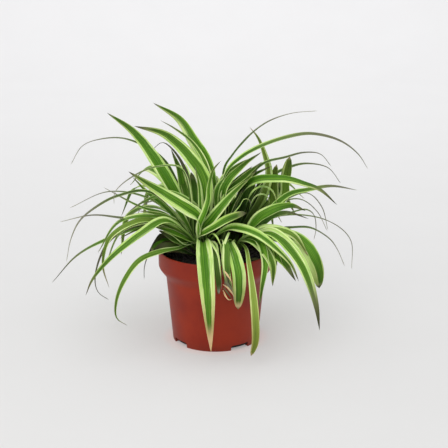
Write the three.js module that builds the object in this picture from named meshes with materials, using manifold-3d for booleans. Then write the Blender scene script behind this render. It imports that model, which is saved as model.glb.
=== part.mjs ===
// A spider plant in a plastic nursery pot: pot, soil, and five shoots of arching striped leaves.
// Millimetres, +Z up, the front towards -Y, the origin at the middle of the pot's flat base.
import * as THREE from "three";
import { mergeVertices } from "three/addons/utils/BufferGeometryUtils.js";
import Module from "manifold-3d";

const wasm = await Module();
wasm.setup();

// The pot, a 12 cm nursery pot: a tapered body, a smooth shoulder, a straight rim above it and four
// drainage notches at its foot.
const RIM_RADIUS = 60;
const RIM_HEIGHT = 99;
const SHOULDER_TOP = 83;
const SHOULDER_FOOT = 68;
const SHOULDER_STEPS = 4;
const BODY_RADIUS = 52;
const BASE_RADIUS = 45.5;
const WALL = 2;
const FLOOR = 2;
const CHAMFER = 0.7;
const POT_SIDES = 36;
// Each notch is cut from outside the wall inwards; its angle is counted from the front towards +X.
const NOTCH = { width: 22, height: 5.5, corner: 2.5, outside: 3, reach: 12, angles: [35, 125, 215, 305] };

// The soil fills the pot to a little under the rim.
const SOIL_HEIGHT = 86;
const SOIL_MOUND = 3;
const SOIL_RINGS = 6;
const GAP = 0.3;

// Its lumps are two crossed waves: height, waves along X and Y in radians per mm, and their phases.
const LUMPS = [
  { height: 1.2, along: [0.31, 0.37], phase: [1, Math.PI / 2] },
  { height: 0.72, along: [0.83, 0.71], phase: [0, 2] },
];

// Each shoot stands in its own hole in the soil. Its leaves sheathe one another on a short core.
// Besides the leaves listed below it has a fan of extra ones, spread evenly between two headings
// (degrees from +X), whose lengths and slopes at the root are drawn from a range.
const CORE_RADIUS = 7;
const CORE_FOOT = 70;
const CORE_TOP = 105;
const CORE_SIDES = 14;
const ROOT = { reach: 5, height: 100 };
const NECK = { reach: 9, height: 110 };
const SHOOTS = {
  front_left: { x: -14, y: -15, extra: { count: 3, fan: [150, 212], length: [75, 130], rise: [25, 62] } },
  front_right: { x: 21, y: -13, extra: { count: 4, fan: [-52, -22], length: [65, 100], rise: [10, 45] } },
  middle: { x: 2, y: 4, extra: { count: 4, fan: [30, 210], length: [60, 110], rise: [64, 86] } },
  rear_left: { x: -20, y: 17, extra: { count: 8, fan: [94, 142], length: [110, 170], rise: [25, 68] } },
  rear_right: { x: 18, y: 22, extra: { count: 7, fan: [44, 88], length: [100, 165], rise: [25, 64] } },
};

// The leaves that show from the front, and four behind: shoot, full width, turn of the blade about its
// own length (degrees), and the points that the midrib passes after its root, the last being the tip.
// A blunt leaf's width comes with the share of its length at which it is widest.
const LEAVES = [
  ["rear_left", 16.5, -48, [-48, 28, 159], [-72, 40, 196], [-90, 47, 216], [-116, 55, 233]],
  ["middle", 17, -45, [-10, 22, 183], [-24, 28, 209], [-38, 37, 229], [-66, 48, 245]],
  ["front_left", 17.5, -55, [-12, 4, 170], [-26, 6, 195], [-52, 9, 219], [-84, 10, 228]],
  ["middle", 8, -40, [-9, 12, 183], [-24, 20, 208], [-43, 27, 222], [-58, 30, 230]],
  ["rear_left", 7, -5, [-54, 45, 180], [-95, 62, 202], [-126, 72, 200], [-146, 79, 191], [-160, 82, 169]],
  ["front_left", 17, -62, [-18, -20, 137], [-29, -24, 148], [-51, -31, 165],
    [-71, -36, 180], [-87, -39, 192]],
  ["front_left", 7, -5, [-34, -8, 186], [-56, -18, 192], [-82, -30, 185],
    [-101, -38, 170], [-102, -40, 158]],
  ["rear_left", 6, 0, [-35, 60, 173], [-57, 74, 196], [-70, 82, 186]],
  ["rear_left", 10, -45, [-56, 4, 146], [-72, 0, 161], [-86, -4, 178]],
  ["front_left", 6, -20, [-67, -15, 163], [-99, -27, 163], [-122, -36, 153],
    [-137, -42, 141], [-146, -47, 123], [-151, -50, 100]],
  ["rear_left", 7, -20, [-53, 10, 132], [-79, 10, 141], [-117, 5, 164]],
  ["rear_left", 7, 0, [-48, 22, 141], [-64, 24, 144], [-78, 26, 138], [-85, 28, 123]],
  ["rear_left", 6, 0, [-71, 40, 141], [-116, 50, 147], [-160, 60, 126]],
  ["front_left", 7, -10, [-58, -8, 134], [-93, -22, 138], [-125, -35, 145], [-157, -45, 141]],
  ["front_left", 8, -35, [-67, -32, 138], [-86, -42, 138], [-106, -53, 126],
    [-113, -59, 100], [-107, -62, 76]],
  ["front_left", 6, -25, [-67, -18, 130], [-104, -28, 120], [-117, -32, 102],
    [-124, -35, 76], [-121, -35, 62], [-110, -36, 54]],
  ["front_left", 10, -45, [-51, -35, 139], [-75, -53, 131], [-105, -70, 110],
    [-122, -79, 91], [-129, -82, 75]],
  ["front_left", 8, -15, [-57, -22, 130], [-77, -30, 129], [-98, -38, 121]],
  ["rear_left", 9, -20, [-70, 20, 116], [-116, 30, 99], [-150, 37, 79], [-180, 41, 46]],
  ["front_left", 8, -25, [-38, -36, 109], [-56, -47, 109], [-76, -58, 104], [-91, -66, 86],
    [-99, -72, 67], [-99, -75, 49], [-88, -76, 41]],
  ["front_left", 6, -10, [-32, -30, 112], [-44, -36, 124], [-58, -41, 132]],
  ["front_left", 15, -20, [-27, -22, 112], [-35, -26, 119], [-46, -31, 126], [-62, -36, 133]],
  ["rear_left", 5, 0, [-48, 10, 114], [-67, 5, 96], [-75, 3, 79], [-76, 2, 63]],
  ["front_left", 19, 0, [-12, -48, 118], [-10, -76, 107], [-7, -88, 73], [-4, -88, 17]],
  ["front_left", 12.5, 60, [-10, -20, 128], [-4, -20, 136], [2, -20, 144],
    [11, -19, 155], [20, -17, 165], [35, -14, 179]],
  ["front_left", 11.5, 40, [16, -36, 131], [26, -43, 133], [36, -49, 132], [47, -55, 128],
    [65, -64, 115], [76, -70, 104], [84, -73, 87]],
  ["front_left", [13.5, 0.6], 40, [-15, -29, 120], [-7, -36, 128], [-1, -41, 133],
    [13, -47, 144], [32, -50, 152]],
  ["front_left", 14, 0, [-14, -26, 131], [-9, -24, 145], [-6, -20, 157], [-6, -17, 167],
    [-4, -15, 179], [-1, -13, 188], [6, -10, 196]],
  ["middle", 4, 20, [10, 11, 183], [18, 14, 196], [27, 17, 207], [40, 20, 220],
    [57, 23, 231], [80, 27, 238], [107, 30, 240]],
  ["middle", 8, 30, [11, 5, 176], [27, 2, 196], [48, 0, 209], [77, -3, 220],
    [100, -5, 223], [128, -7, 216], [146, -9, 203], [157, -10, 187]],
  ["rear_right", 11, 20, [49, 26, 144], [57, 30, 172], [52, 34, 194], [45, 37, 210], [36, 38, 221]],
  ["rear_right", [15, 0.75], 25, [73, 25, 148], [75, 30, 162], [77, 34, 175], [79, 38, 189]],
  ["middle", 8, 10, [36, 15, 171], [52, 20, 186], [74, 26, 191],
    [94, 30, 195], [111, 32, 193], [123, 34, 179]],
  ["rear_right", 8, 10, [54, 32, 163], [84, 45, 177], [102, 50, 178], [122, 55, 172], [136, 58, 154]],
  ["middle", 12, 45, [32, 10, 162], [44, 2, 172], [58, -8, 176], [74, -18, 178],
    [89, -26, 176], [106, -31, 171], [124, -36, 156]],
  ["front_right", 8, 45, [59, -6, 144], [78, 0, 158], [99, 4, 162], [121, 6, 165], [149, 8, 160]],
  ["front_right", 14, 50, [44, -15, 135], [54, -17, 143], [67, -18, 149], [79, -20, 151], [93, -22, 146]],
  ["front_right", 9, 30, [49, -2, 125], [60, 5, 132], [75, 10, 135], [99, 14, 127]],
  ["rear_right", 6, 0, [64, 35, 136], [91, 45, 140], [110, 50, 125], [122, 52, 102]],
  ["rear_right", 6, 0, [76, 60, 135], [101, 70, 140], [117, 75, 123], [125, 78, 95]],
  ["rear_right", 5, 0, [82, 70, 115], [128, 88, 102], [152, 94, 79], [155, 98, 42]],
  ["rear_right", 7, 0, [81, 20, 132], [97, 28, 133], [105, 31, 127], [108, 33, 111], [106, 34, 97]],
  ["front_right", 7, 0, [59, -6, 119], [79, -10, 124], [100, -15, 125],
    [119, -18, 114], [127, -19, 103], [135, -20, 85]],
  ["front_right", [20, 0.6], 40, [59, -17, 115], [77, -25, 117], [90, -32, 111],
    [98, -38, 100], [104, -41, 86], [107, -42, 69]],
  ["front_right", 14, 40, [54, -38, 127], [68, -49, 123], [78, -57, 114], [88, -63, 100],
    [96, -67, 81], [102, -70, 60], [106, -72, 34]],
  ["front_right", 14, 40, [36, -33, 118], [54, -45, 112], [69, -52, 101], [82, -58, 82]],
  ["front_left", 9, 0, [-2, -45, 116], [1, -70, 105], [3, -80, 74]],
  ["front_right", 6, 0, [8, -41, 114], [10, -66, 103], [10, -74, 78]],
  ["front_right", [14, 0.62], 0, [15, -45, 118], [20, -66, 110], [24, -77, 94], [23, -80, 60]],
  ["front_right", 5, 0, [11, -50, 121], [13, -75, 102], [20, -86, 68]],
  ["front_right", [8.5, 0.75], 0, [31, -40, 111], [34, -66, 101], [37, -81, 83],
    [40, -88, 52], [40, -88, 27], [36, -88, 13]],
  ["front_right", 10, 0, [44, -38, 117], [50, -58, 103], [47, -66, 79], [44, -68, 56]],
  ["middle", 13, 45, [10, 0, 165], [29, 2, 188], [48, 4, 202]],
  ["middle", 12, 35, [7, 8, 168], [22, 12, 184], [42, 18, 194]],
  ["middle", 13, 45, [13, 4, 155], [29, 8, 173], [49, 12, 190]],
  ["rear_left", 14, -20, [-34, 30, 149], [-39, 32, 176], [-47, 34, 198]],
  ["front_left", 8, 10, [-16, -8, 145], [-17, -4, 167], [-21, 0, 188]],
  ["middle", 12, 40, [11, -4, 153], [28, 0, 169], [44, 4, 183]],
  ["middle", 12, 30, [17, 8, 154], [36, 14, 172], [59, 20, 183]],
  ["middle", 14, 35, [9, 12, 149], [23, 18, 167], [39, 24, 182]],
  ["middle", 13, 20, [13, -4, 130], [19, -2, 147], [30, 2, 164]],
  ["middle", 12, 40, [3, 2, 161], [13, 4, 175], [32, 8, 192]],
  ["front_left", 9, -30, [-42, 0, 143], [-58, 4, 154], [-76, 8, 146], [-90, 10, 136]],
  ["front_left", 10, -20, [-41, -12, 131], [-57, -18, 141], [-79, -25, 147]],
  ["rear_right", 15, 0, [11, 58, 130], [5, 86, 120], [1, 104, 76]],
  ["rear_right", 12, 10, [17, 62, 142], [15, 98, 150], [13, 134, 122]],
  ["rear_right", [15, 0.6], 25, [61, 24, 142], [63, 28, 161], [65, 32, 182]],
  ["rear_right", [16, 0.5], 25, [26, 30, 129], [31, 34, 148], [40, 38, 174]],
  ["rear_right", [16, 0.5], 25, [41, 28, 131], [46, 32, 147], [50, 36, 165]],
  ["rear_left", 14, 0, [-14, 56, 128], [-12, 84, 112], [-13, 98, 60]],
  ["rear_left", 11, 0, [-16, 60, 144], [-15, 96, 160], [-15, 134, 142]],
];

// All extra leaves are drawn within these ranges, and stay between the lowest height and the ceiling.
// Angles are in degrees. A leaf is worked out in small steps, and its midrib passes every fourth one.
const EXTRA = {
  seed: 20,
  width: [8, 17],
  droop: [85, 150],
  droopCurve: 1.4,
  turn: 30,
  stray: 8,
  ceiling: 168,
  lowest: 10,
  steps: 12,
  stepsPerPoint: 4,
};

// Blades: a keeled section that is folded most at the root, and a long taper to the tip. The fold eases
// and the turn comes in over a share of the length.
const BLADE_THICKNESS = [1.5, 1.0];
const FOLD = [50, 14];
const FOLD_EASES_BY = 0.625;
const TURNED_BY = 0.4;
const ROOT_SHARE = 0.25;
const WIDEST = 0.38;
const TAPER = { widths: [6, 15], curve: [1.1, 1.6], end: 0.9 };
const BLUNT = { root: 0.5, curve: 3, end: 0.6 };
const STATION_STEP = 20;
const STATIONS = [6, 12];

// Where two shoots' leaves would cross, the later one is bent clear along the line of sight from the
// front. An extra leaf is bent sideways instead, and is left out if it finds no room.
const BENDS = [0, 5, -5, 10, -10, 15, -15, 20, -20, 26, -26, 32, -32, 40, -40];
const CLEAR = 0.4;
const SIGHT = new THREE.Vector3(0, 0.96, -0.28);

// Edges shorter than this are welded where solids are joined.
const WELD = 0.02;

const radians = THREE.MathUtils.degToRad;
const mix = THREE.MathUtils.lerp;

// A solid from a closed geometry whose shared vertices are merged.
function solid(geometry) {
  const bare = new THREE.BufferGeometry();
  bare.setAttribute("position", geometry.getAttribute("position"));
  bare.setIndex(geometry.getIndex());
  const merged = mergeVertices(bare, 1e-4);
  return new wasm.Manifold(
    new wasm.Mesh({
      numProp: 3,
      tolerance: WELD,
      vertProperties: new Float32Array(merged.getAttribute("position").array),
      triVerts: new Uint32Array(merged.getIndex().array),
    }),
  );
}

// A solid back into a flat-shaded geometry.
function geometryOf(made) {
  const mesh = made.getMesh();
  const geometry = new THREE.BufferGeometry();
  geometry.setAttribute("position", new THREE.BufferAttribute(mesh.vertProperties, 3));
  geometry.setIndex(new THREE.BufferAttribute(mesh.triVerts, 1));
  return geometry;
}

// A solid of revolution about Z from [radius, height] points that start and end on the axis.
function turned(profile, sides) {
  const points = profile.map(([r, z]) => new THREE.Vector2(r, z));
  return solid(new THREE.LatheGeometry(points, sides).rotateX(Math.PI / 2));
}

// The radius of the pot's outside at a height: its taper, and above that its step out to the rim.
function outerRadius(z) {
  if (z < SHOULDER_FOOT) return mix(BASE_RADIUS, BODY_RADIUS, z / SHOULDER_FOOT);
  return mix(BODY_RADIUS, RIM_RADIUS, THREE.MathUtils.smoothstep(z, SHOULDER_FOOT, SHOULDER_TOP));
}

// The radius of its inside, and of the soil that lies in it.
function innerRadius(z) {
  return outerRadius(z) - WALL;
}

function soilRadius(z) {
  return innerRadius(z - GAP) - GAP;
}

// The shoulder's points on one of these surfaces, from its foot to its top.
function shoulder(radiusAt) {
  const points = [];
  for (let i = 0; i <= SHOULDER_STEPS; i++) {
    const z = mix(SHOULDER_FOOT, SHOULDER_TOP, i / SHOULDER_STEPS);
    points.push([radiusAt(z), z]);
  }
  return points;
}

function makePot() {
  const body = turned(
    [
      [0, 0],
      [BASE_RADIUS - CHAMFER, 0],
      [outerRadius(CHAMFER), CHAMFER],
      ...shoulder(outerRadius),
      [RIM_RADIUS, RIM_HEIGHT - CHAMFER],
      [RIM_RADIUS - CHAMFER, RIM_HEIGHT],
      [innerRadius(RIM_HEIGHT) + 0.6 * CHAMFER, RIM_HEIGHT],
      [innerRadius(RIM_HEIGHT), RIM_HEIGHT - CHAMFER],
      ...shoulder(innerRadius).reverse(),
      [innerRadius(FLOOR), FLOOR],
      [0, FLOOR],
    ],
    POT_SIDES,
  );
  const outline = new THREE.Shape();
  const half = NOTCH.width / 2;
  outline.moveTo(-half, -1);
  outline.lineTo(half, -1);
  outline.lineTo(half, NOTCH.height - NOTCH.corner);
  outline.absarc(half - NOTCH.corner, NOTCH.height - NOTCH.corner, NOTCH.corner, 0, Math.PI / 2);
  outline.lineTo(NOTCH.corner - half, NOTCH.height);
  outline.absarc(NOTCH.corner - half, NOTCH.height - NOTCH.corner, NOTCH.corner, Math.PI / 2, Math.PI);
  const options = { depth: NOTCH.reach, bevelEnabled: false, curveSegments: 3 };
  const block = new THREE.ExtrudeGeometry(outline, options).rotateX(Math.PI / 2);
  block.translate(0, NOTCH.reach - BASE_RADIUS - NOTCH.outside, 0);
  return NOTCH.angles.reduce(
    (pot, angle) => pot.subtract(solid(block.clone().rotateZ(radians(angle)))),
    body,
  );
}

// Soil with a low mound and a lumpy top, and a plain hole for each shoot.
function makeSoil() {
  const foot = FLOOR + GAP;
  const profile = [[0, foot], [soilRadius(foot), foot], ...shoulder(soilRadius)];
  for (let i = 0; i <= SOIL_RINGS; i++) {
    const share = 1 - i / SOIL_RINGS;
    profile.push([soilRadius(SOIL_HEIGHT) * share, SOIL_HEIGHT + SOIL_MOUND * (1 - share * share)]);
  }
  const points = profile.map(([r, z]) => new THREE.Vector2(r, z));
  const heap = new THREE.LatheGeometry(points, POT_SIDES).rotateX(Math.PI / 2);
  const place = heap.getAttribute("position");
  for (let i = 0; i < place.count; i++) {
    const x = place.getX(i);
    const y = place.getY(i);
    if (place.getZ(i) < SOIL_HEIGHT - 1) continue;
    for (const { height, along, phase } of LUMPS) {
      const lump = Math.sin(x * along[0] + phase[0]) * Math.sin(y * along[1] + phase[1]);
      place.setZ(i, place.getZ(i) + height * lump);
    }
  }
  let soil = solid(heap);
  const bottom = CORE_FOOT - GAP;
  const radius = CORE_RADIUS + GAP;
  const sleeve = [[0, bottom], [radius, bottom], [radius, RIM_HEIGHT], [0, RIM_HEIGHT]];
  const hole = turned(sleeve, CORE_SIDES + 2);
  for (const { x, y } of Object.values(SHOOTS)) soil = soil.subtract(hole.translate([x, y, 0]));
  return soil;
}

// Repeatable random numbers between 0 and 1.
function randomFrom(seed) {
  let state = seed;
  return () => {
    state = (Math.imul(state, 1664525) + 1013904223) >>> 0;
    return state / 4294967296;
  };
}

// The width of a blade at a share of its length, as a share of its full width. A narrow blade tapers
// more evenly than a wide one, and a blunt one widens late.
function widthShare(t, { width, widest }) {
  const place = widest ?? WIDEST;
  if (t < place) {
    const late = Math.pow(place / WIDEST, 2);
    const root = widest ? BLUNT.root : ROOT_SHARE;
    return mix(root, 1, Math.pow(Math.sin((t / place) * Math.PI * 0.5), late));
  }
  const [narrow, wide] = TAPER.widths;
  const breadth = THREE.MathUtils.clamp((width - narrow) / (wide - narrow), 0, 1);
  const curve = widest ? BLUNT.curve : mix(TAPER.curve[0], TAPER.curve[1], breadth);
  return Math.pow(1 - Math.pow((t - place) / (1 - place), curve), widest ? BLUNT.end : TAPER.end);
}

// One blade: four-sided sections along a smooth midrib, closed by an end face at the root and a point.
function makeBlade(leaf) {
  const shoot = SHOOTS[leaf.shoot];
  const first = leaf.points[0];
  const heading = new THREE.Vector3(first.x - shoot.x, first.y - shoot.y, 0).normalize();
  const root = new THREE.Vector3(shoot.x, shoot.y, ROOT.height).addScaledVector(heading, ROOT.reach);
  const neck = new THREE.Vector3(shoot.x, shoot.y, NECK.height).addScaledVector(heading, NECK.reach);
  const curve = new THREE.CatmullRomCurve3([root, neck, ...leaf.points]);
  const [fewest, most] = STATIONS;
  const count = Math.min(most, Math.max(fewest, Math.round(curve.getLength() / STATION_STEP)));
  const path = curve.getSpacedPoints(count);
  const tip = path[count];
  const across = new THREE.Vector3(tip.y - root.y, root.x - tip.x, 0).normalize();
  const positions = [];
  const index = [];
  for (let i = 0; i < count; i++) {
    const t = i / count;
    const along = path[i + 1].clone().sub(path[Math.max(0, i - 1)]).normalize();
    const side = across.clone().addScaledVector(along, -across.dot(along)).normalize();
    side.applyAxisAngle(along, radians(leaf.turn) * Math.min(1, t / TURNED_BY));
    const face = side.clone().cross(along);
    const half = (leaf.width / 2) * widthShare(t, leaf);
    const fold = radians(mix(FOLD[0], FOLD[1], Math.min(1, t / FOLD_EASES_BY)));
    const thick = mix(BLADE_THICKNESS[0], BLADE_THICKNESS[1], t) / 2;
    const corners = [
      [-half * Math.cos(fold), half * Math.sin(fold)],
      [0, thick],
      [half * Math.cos(fold), half * Math.sin(fold)],
      [0, -thick],
    ];
    for (const [sideways, up] of corners) {
      const corner = path[i].clone().addScaledVector(side, sideways).addScaledVector(face, up);
      positions.push(corner.x, corner.y, corner.z);
    }
  }
  positions.push(tip.x, tip.y, tip.z);
  const apex = 4 * count;
  index.push(0, 3, 1, 1, 3, 2);
  for (let i = 0; i < count; i++) {
    // Each pair runs from an outer edge to the keel, so both faces are split alike.
    for (const [edge, keel, flipped] of [[0, 1, false], [2, 1, true], [2, 3, false], [0, 3, true]]) {
      const a = 4 * i + edge;
      const b = 4 * i + keel;
      const faces = i === count - 1 ? [[a, apex, b]] : [[a, a + 4, b + 4], [a, b + 4, b]];
      for (const [p, q, r] of faces) index.push(...(flipped ? [p, q, r] : [p, r, q]));
    }
  }
  const geometry = new THREE.BufferGeometry();
  geometry.setAttribute("position", new THREE.BufferAttribute(new Float32Array(positions), 3));
  geometry.setIndex(index);
  return solid(geometry);
}

// The leaf with its points moved along a direction, more and more towards the tip.
function bent(leaf, direction, amount) {
  const last = leaf.points.length;
  const points = leaf.points.map((p, i) => p.clone().addScaledVector(direction, (amount * (i + 1)) / last));
  return { ...leaf, points };
}

// The extra leaves of one shoot: each rises at its own slope and droops more and more towards its tip.
function extraLeaves(name, shoot, random) {
  const { count, fan, length, rise } = shoot.extra;
  const draw = ([low, high]) => mix(low, high, random());
  const leaves = [];
  for (let i = 0; i < count; i++) {
    const heading = radians(mix(fan[0], fan[1], (i + 0.5) / count) + EXTRA.stray * (2 * random() - 1));
    const reachOfLeaf = draw(length);
    const slopeAtRoot = draw(rise);
    const droop = draw(EXTRA.droop);
    const width = draw(EXTRA.width);
    const turn = EXTRA.turn * (2 * random() - 1);
    const stride = reachOfLeaf / EXTRA.steps;
    let reach = NECK.reach;
    let height = 0;
    const rib = [];
    for (let k = 1; k <= EXTRA.steps; k++) {
      const slope = radians(slopeAtRoot - droop * Math.pow((k - 0.5) / EXTRA.steps, EXTRA.droopCurve));
      reach += Math.cos(slope) * stride;
      height += Math.sin(slope) * stride;
      if (k % EXTRA.stepsPerPoint === 0) rib.push([reach, height]);
    }
    const highest = Math.max(...rib.map(([, h]) => h));
    const squeeze = Math.min(1, (EXTRA.ceiling - NECK.height) / highest);
    const points = rib.map(([r, h]) => {
      const z = NECK.height + (h > 0 ? h * squeeze : h);
      return new THREE.Vector3(
        shoot.x + r * Math.cos(heading),
        shoot.y + r * Math.sin(heading),
        Math.max(EXTRA.lowest, z),
      );
    });
    leaves.push({ shoot: name, width, turn, points, extra: true });
  }
  return leaves;
}

const pot = makePot();
const soil = makeSoil();

const random = randomFrom(EXTRA.seed);
const listed = LEAVES.map(([shoot, form, turn, ...points]) => {
  const [width, widest] = [form].flat();
  return { shoot, width, widest, turn, points: points.map((p) => new THREE.Vector3(...p)), extra: false };
});
const extras = Object.entries(SHOOTS).flatMap(([name, shoot]) => extraLeaves(name, shoot, random));

// Each shoot starts as its core, and gains each leaf that is clear of the other shoots.
const core = turned(
  [
    [0, CORE_FOOT],
    [CORE_RADIUS - 2, CORE_FOOT],
    [CORE_RADIUS, CORE_FOOT + 4],
    [CORE_RADIUS, SOIL_HEIGHT + 6],
    [CORE_RADIUS - 2, CORE_TOP],
    [0, CORE_TOP + 2],
  ],
  CORE_SIDES,
);
const grown = new Map();
for (const [name, { x, y }] of Object.entries(SHOOTS)) grown.set(name, [core.translate([x, y, 0])]);

function isClear(blade, leaf) {
  if (blade.minGap(pot, CLEAR) < CLEAR || blade.minGap(soil, CLEAR) < CLEAR) return false;
  for (const [name, pieces] of grown) {
    if (name === leaf.shoot) continue;
    if (pieces.some((piece) => blade.minGap(piece, CLEAR) < CLEAR)) return false;
  }
  return true;
}

for (const leaf of [...listed, ...extras]) {
  const { x, y } = SHOOTS[leaf.shoot];
  const tip = leaf.points[leaf.points.length - 1];
  const sideways = new THREE.Vector3(y - tip.y, tip.x - x, 0).normalize();
  const direction = leaf.extra ? sideways : SIGHT;
  for (const amount of BENDS) {
    const blade = makeBlade(bent(leaf, direction, amount));
    if (!isClear(blade, leaf)) continue;
    grown.get(leaf.shoot).push(blade);
    break;
  }
}

const MATERIALS = {
  pot: new THREE.MeshStandardMaterial({ color: "#8e3326", roughness: 0.45, metalness: 0 }),
  soil: new THREE.MeshStandardMaterial({ color: "#1d1713", roughness: 0.95, metalness: 0 }),
  leaf: new THREE.MeshStandardMaterial({ color: "#5c9638", roughness: 0.45, metalness: 0 }),
};

// The outer body of a fused solid, with any hollow that its blades enclose filled.
function outermost(fused) {
  return fused.decompose().reduce((kept, body) => (body.volume() > kept.volume() ? body : kept));
}

const plant = new THREE.Group();

function addNode(name, made, material) {
  const mesh = new THREE.Mesh(geometryOf(made), material);
  mesh.name = name;
  plant.add(mesh);
}

addNode("pot", pot, MATERIALS.pot);
addNode("soil", soil, MATERIALS.soil);
for (const [name, pieces] of grown) {
  const fused = pieces.reduce((whole, piece) => whole.add(piece));
  addNode("shoot_" + name, outermost(fused), MATERIALS.leaf);
}

export default plant;
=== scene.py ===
"""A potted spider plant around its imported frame: a moulded plastic pot, crumbly soil and five shoots of
channelled, cream-edged leaves, on a pale floor under soft light.

Shapes are worked out in millimetres in the frame's own axes, and turned into metres as meshes are made.
"""

import math
import random

import bmesh
import bpy
import numpy as np
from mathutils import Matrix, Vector, noise


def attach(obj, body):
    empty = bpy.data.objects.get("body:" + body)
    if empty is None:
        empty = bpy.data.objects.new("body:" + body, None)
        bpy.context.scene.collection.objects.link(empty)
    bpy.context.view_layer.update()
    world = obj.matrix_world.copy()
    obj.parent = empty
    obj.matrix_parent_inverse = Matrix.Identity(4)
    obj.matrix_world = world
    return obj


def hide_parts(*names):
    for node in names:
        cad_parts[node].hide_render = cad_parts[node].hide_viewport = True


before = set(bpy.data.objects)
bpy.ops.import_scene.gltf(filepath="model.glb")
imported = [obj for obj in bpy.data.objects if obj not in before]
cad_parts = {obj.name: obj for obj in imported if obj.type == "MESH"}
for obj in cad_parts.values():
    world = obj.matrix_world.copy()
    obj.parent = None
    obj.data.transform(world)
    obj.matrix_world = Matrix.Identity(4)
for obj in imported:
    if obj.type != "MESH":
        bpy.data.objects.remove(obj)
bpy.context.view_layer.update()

MM = 0.001

# The photograph's camera. Its focal length is in pixels of a square picture that is PICTURE wide.
PICTURE = 448
FOCAL = 1240.5
SENSOR = 36
TARGET = (9, 0, 125.5)
DISTANCE = 1300
ELEVATION = 16.5

# The pot's and the soil's driving sizes, as in the solid model.
RIM_RADIUS = 60
RIM_HEIGHT = 99
SHOULDER_TOP = 83
SHOULDER_FOOT = 68
BODY_RADIUS = 52
BASE_RADIUS = 45.5
WALL = 2
FLOOR = 2
NOTCH_WIDTH = 22
NOTCH_HEIGHT = 5.5
NOTCH_CORNER = 2.5
NOTCH_OUTSIDE = 3
NOTCH_REACH = 12
NOTCH_ANGLES = (35, 125, 215, 305)
SOIL_HEIGHT = 86
SOIL_MOUND = 3
GAP = 0.3
LUMPS = (
    (1.2, (0.31, 0.37), (1, math.pi / 2)),
    (0.72, (0.83, 0.71), (0, 2)),
)

# How round the pot's edges are: at its foot, outside and inside at the rim, and inside on its floor.
FOOT_ROUND = 0.7
RIM_ROUND = (0.9, 0.8)
FLOOR_ROUND = 1.0

# The pot's mesh: its divisions, how far a notch's cutter goes below the base, how far above the notches
# the body has a ring of points, and from how many degrees an edge is sharp.
SHOULDER_STEPS = 16
CORNER_STEPS = 6
POT_SIDES = 180
CUTTER_BELOW = 1
RING_ABOVE = 3
SHARP_ANGLE = 35

# The soil's fine unevenness, and its crumbs: how many, their sizes, how far each is stretched and dented,
# and how high its middle stands, as a share of its size.
SOIL_RINGS = 44
SOIL_SIDES = 150
UNEVEN_HEIGHT = 0.9
UNEVEN_SCALE = 0.35
CRUMBS = 900
CRUMB_SIZE = (0.5, 2.6)
CRUMB_STRETCH = (0.6, 1.3)
CRUMB_DENTS = 0.45
CRUMB_STANDS = 0.35

# Between which heights and radii two colours set in: peat's stain and painted shade inside the pot, and
# the creamier margins low in front of it, which are a painted reflection of the pot.
STAIN_AND_SHADE_HEIGHTS = (98.5, 96)
STAIN_AND_SHADE_RADII = (58.9, 58.5)
POT_REFLECTION_HEIGHTS = (95, 45)
POT_REFLECTION_RADII = (106, 94)

# Where a leaf leaves its shoot: distance from the shoot's axis, and height.
SHEATH_FOOT = (2.5, 82)
ROOT = (5, 100)
NECK = (9, 110)
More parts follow.
